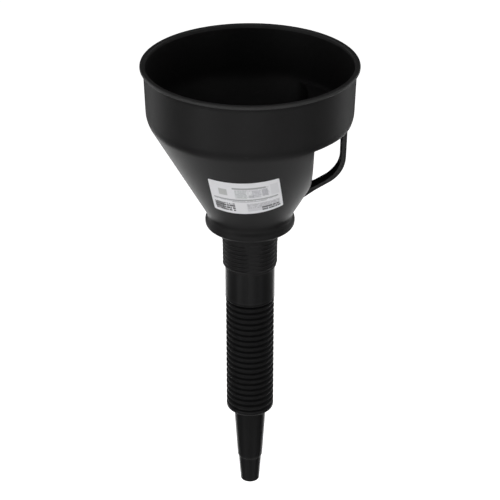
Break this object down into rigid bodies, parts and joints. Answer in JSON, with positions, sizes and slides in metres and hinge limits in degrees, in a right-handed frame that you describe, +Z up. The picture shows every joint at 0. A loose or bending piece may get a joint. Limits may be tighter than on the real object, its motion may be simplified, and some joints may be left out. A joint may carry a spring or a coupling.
{
  "type": "funnel",
  "caption": "Wide black plastic hand funnel with a strap handle, an inner sieve, a threaded neck and a flexible corrugated spout ending in a tapered nozzle.",
  "frame": {"origin": "on the funnel's axis, in the plane of the collar's underside, where the funnel sits on a container's mouth", "axes": "+Z up along the axis towards the rim, +X towards the strap handle, -Y towards the label"},
  "size_m": [0.16, 0.16, 0.3666],
  "materials": {
    "bowl_plastic": "satin black polypropylene with a fine grain",
    "spout_plastic": "smooth black polyethylene, slightly glossy",
    "sieve_plastic": "satin black plastic",
    "sieve_net": "fine woven nylon net",
    "label_film": "printed self-adhesive film"
  },
  "bodies": {
    "funnel": {"funnel_bowl": "bowl_plastic", "threaded_collar": "bowl_plastic", "carry_handle": "bowl_plastic", "product_label": "label_film"},
    "sieve": {"sieve_frame": "sieve_plastic", "sieve_mesh": "sieve_net"},
    "spout": {"spout_sleeve": "spout_plastic"},
    "link_1": {"tube_link_1": "spout_plastic"},
    "link_2": {"tube_link_2": "spout_plastic"},
    "link_3": {"tube_link_3": "spout_plastic"},
    "link_4": {"tube_link_4": "spout_plastic"},
    "link_5": {"tube_link_5": "spout_plastic"},
    "link_6": {"tube_link_6": "spout_plastic"},
    "link_7": {"tube_link_7": "spout_plastic"},
    "link_8": {"tube_link_8": "spout_plastic"},
    "link_9": {"tube_link_9": "spout_plastic"},
    "nozzle": {"nozzle": "spout_plastic"}
  },
  "joints": [
    {"name": "sieve_lift", "type": "slide", "parent": "funnel", "child": "sieve", "axis": [0, 0, 1], "range_m": [0, 0.15]},
    {"name": "spout_swivel", "type": "hinge", "parent": "funnel", "child": "spout", "pos_m": [0, 0, 0], "axis": [0, 0, 1], "continuous": true},
    {"name": "flex_1", "type": "hinge", "parent": "spout", "child": "link_1", "pos_m": [0, 0, -0.0643], "axis": [0, 1, 0], "range_deg": [-9, 9], "stiffness_Nm_per_rad": 0.3},
    {"name": "flex_2", "type": "hinge", "parent": "link_1", "child": "link_2", "pos_m": [0, 0, -0.07427], "axis": [1, 0, 0], "range_deg": [-9, 9], "stiffness_Nm_per_rad": 0.3},
    {"name": "flex_3", "type": "hinge", "parent": "link_2", "child": "link_3", "pos_m": [0, 0, -0.08424], "axis": [0, 1, 0], "range_deg": [-9, 9]},
    {"name": "flex_4", "type": "hinge", "parent": "link_3", "child": "link_4", "pos_m": [0, 0, -0.09421], "axis": [1, 0, 0], "range_deg": [-9, 9]},
    {"name": "flex_5", "type": "hinge", "parent": "link_4", "child": "link_5", "pos_m": [0, 0, -0.10418], "axis": [0, 1, 0], "range_deg": [-9, 9]},
    {"name": "flex_6", "type": "hinge", "parent": "link_5", "child": "link_6", "pos_m": [0, 0, -0.11415], "axis": [1, 0, 0], "range_deg": [-9, 9]},
    {"name": "flex_7", "type": "hinge", "parent": "link_6", "child": "link_7", "pos_m": [0, 0, -0.12412], "axis": [0, 1, 0], "range_deg": [-9, 9]},
    {"name": "flex_8", "type": "hinge", "parent": "link_7", "child": "link_8", "pos_m": [0, 0, -0.13409], "axis": [1, 0, 0], "range_deg": [-9, 9]},
    {"name": "flex_9", "type": "hinge", "parent": "link_8", "child": "link_9", "pos_m": [0, 0, -0.14406], "axis": [0, 1, 0], "range_deg": [-9, 9]},
    {"name": "flex_10", "type": "hinge", "parent": "link_9", "child": "nozzle", "pos_m": [0, 0, -0.15403], "axis": [1, 0, 0], "range_deg": [-9, 9]}
  ],
  "couplings": [
    {"joint": "flex_3", "follows": "flex_1", "ratio": 1},
    {"joint": "flex_4", "follows": "flex_2", "ratio": 1},
    {"joint": "flex_5", "follows": "flex_1", "ratio": 1},
    {"joint": "flex_6", "follows": "flex_2", "ratio": 1},
    {"joint": "flex_7", "follows": "flex_1", "ratio": 1},
    {"joint": "flex_8", "follows": "flex_2", "ratio": 1},
    {"joint": "flex_9", "follows": "flex_1", "ratio": 1},
    {"joint": "flex_10", "follows": "flex_2", "ratio": 1}
  ]
}
